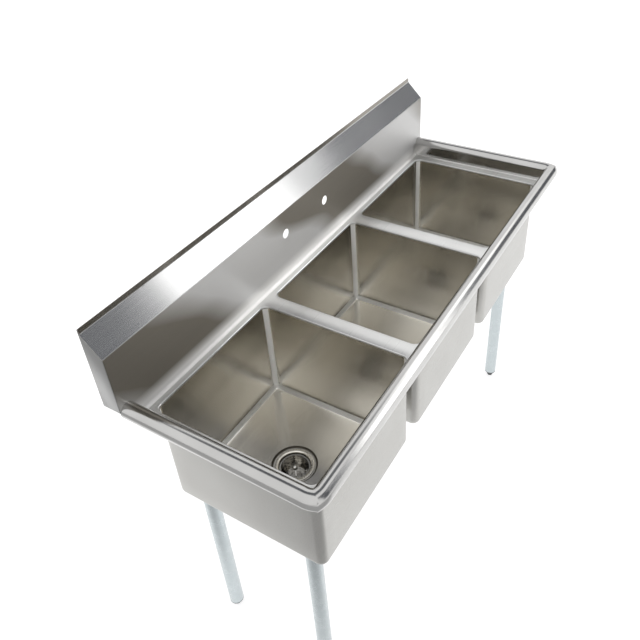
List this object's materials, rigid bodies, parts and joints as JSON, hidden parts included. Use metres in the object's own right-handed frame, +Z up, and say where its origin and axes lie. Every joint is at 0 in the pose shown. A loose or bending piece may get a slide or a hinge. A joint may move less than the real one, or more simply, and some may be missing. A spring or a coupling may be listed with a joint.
{
  "type": "three compartment sink",
  "caption": "Free-standing stainless steel sink with deep coved bowls under one deck, rolled rims, a backsplash with faucet holes, tube legs on adjustable feet and lift-out basket strainers.",
  "frame": {"origin": "on the floor, under the middle of the overall length and depth", "axes": "+X along the length, to the right for a person standing at the front; +Y from the front to the wall; +Z up"},
  "size_m": [1.524, 0.572, 1.145],
  "materials": {
    "deck_steel": "brushed stainless steel, polished along the rolled rims and welds",
    "bowl_steel": "satin drawn stainless steel",
    "galvanised": "galvanised steel tube, pale and slightly bluish",
    "foot_grey": "dark grey moulded plastic",
    "insert_grey": "dark grey moulded plastic",
    "screw_steel": "dark steel",
    "strainer_chrome": "polished stainless steel",
    "nut_zinc": "cast zinc",
    "seal_rubber": "black rubber",
    "washer_fibre": "brown fibre board"
  },
  "bodies": {
    "sink": {"deck": "deck_steel", "rim_front": "deck_steel", "rim_left": "deck_steel", "rim_right": "deck_steel", "backsplash": "deck_steel", "splash_end_left": "deck_steel", "splash_end_right": "deck_steel", "bowl_left": "bowl_steel", "bowl_middle": "bowl_steel", "bowl_right": "bowl_steel", "leg_socket_front_left": "deck_steel", "set_screw_front_left": "screw_steel", "leg_tube_front_left": "galvanised", "leg_insert_front_left": "insert_grey", "leg_socket_rear_left": "deck_steel", "set_screw_rear_left": "screw_steel", "leg_tube_rear_left": "galvanised", "leg_insert_rear_left": "insert_grey", "leg_socket_front_right": "deck_steel", "set_screw_front_right": "screw_steel", "leg_tube_front_right": "galvanised", "leg_insert_front_right": "insert_grey", "leg_socket_rear_right": "deck_steel", "set_screw_rear_right": "screw_steel", "leg_tube_rear_right": "galvanised", "leg_insert_rear_right": "insert_grey", "strainer_body_left": "strainer_chrome", "strainer_gasket_left": "seal_rubber", "friction_washer_left": "washer_fibre", "lock_nut_left": "nut_zinc", "strainer_body_middle": "strainer_chrome", "strainer_gasket_middle": "seal_rubber", "friction_washer_middle": "washer_fibre", "lock_nut_middle": "nut_zinc", "strainer_body_right": "strainer_chrome", "strainer_gasket_right": "seal_rubber", "friction_washer_right": "washer_fibre", "lock_nut_right": "nut_zinc"},
    "foot_front_left": {"foot_front_left": "foot_grey"},
    "foot_rear_left": {"foot_rear_left": "foot_grey"},
    "foot_front_right": {"foot_front_right": "foot_grey"},
    "foot_rear_right": {"foot_rear_right": "foot_grey"},
    "basket_left": {"basket_left": "strainer_chrome", "basket_seal_left": "seal_rubber", "basket_post_left": "strainer_chrome"},
    "basket_middle": {"basket_middle": "strainer_chrome", "basket_seal_middle": "seal_rubber", "basket_post_middle": "strainer_chrome"},
    "basket_right": {"basket_right": "strainer_chrome", "basket_seal_right": "seal_rubber", "basket_post_right": "strainer_chrome"}
  },
  "joints": [
    {"name": "foot_front_left_adjust", "type": "slide", "parent": "sink", "child": "foot_front_left", "axis": [0, 0, -1], "range_m": [0, 0.025]},
    {"name": "foot_rear_left_adjust", "type": "slide", "parent": "sink", "child": "foot_rear_left", "axis": [0, 0, -1], "range_m": [0, 0.025]},
    {"name": "foot_front_right_adjust", "type": "slide", "parent": "sink", "child": "foot_front_right", "axis": [0, 0, -1], "range_m": [0, 0.025]},
    {"name": "foot_rear_right_adjust", "type": "slide", "parent": "sink", "child": "foot_rear_right", "axis": [0, 0, -1], "range_m": [0, 0.025]},
    {"name": "basket_left_lift", "type": "slide", "parent": "sink", "child": "basket_left", "axis": [0, 0, 1], "range_m": [0, 0.43]},
    {"name": "basket_middle_lift", "type": "slide", "parent": "sink", "child": "basket_middle", "axis": [0, 0, 1], "range_m": [0, 0.43]},
    {"name": "basket_right_lift", "type": "slide", "parent": "sink", "child": "basket_right", "axis": [0, 0, 1], "range_m": [0, 0.43]}
  ]
}
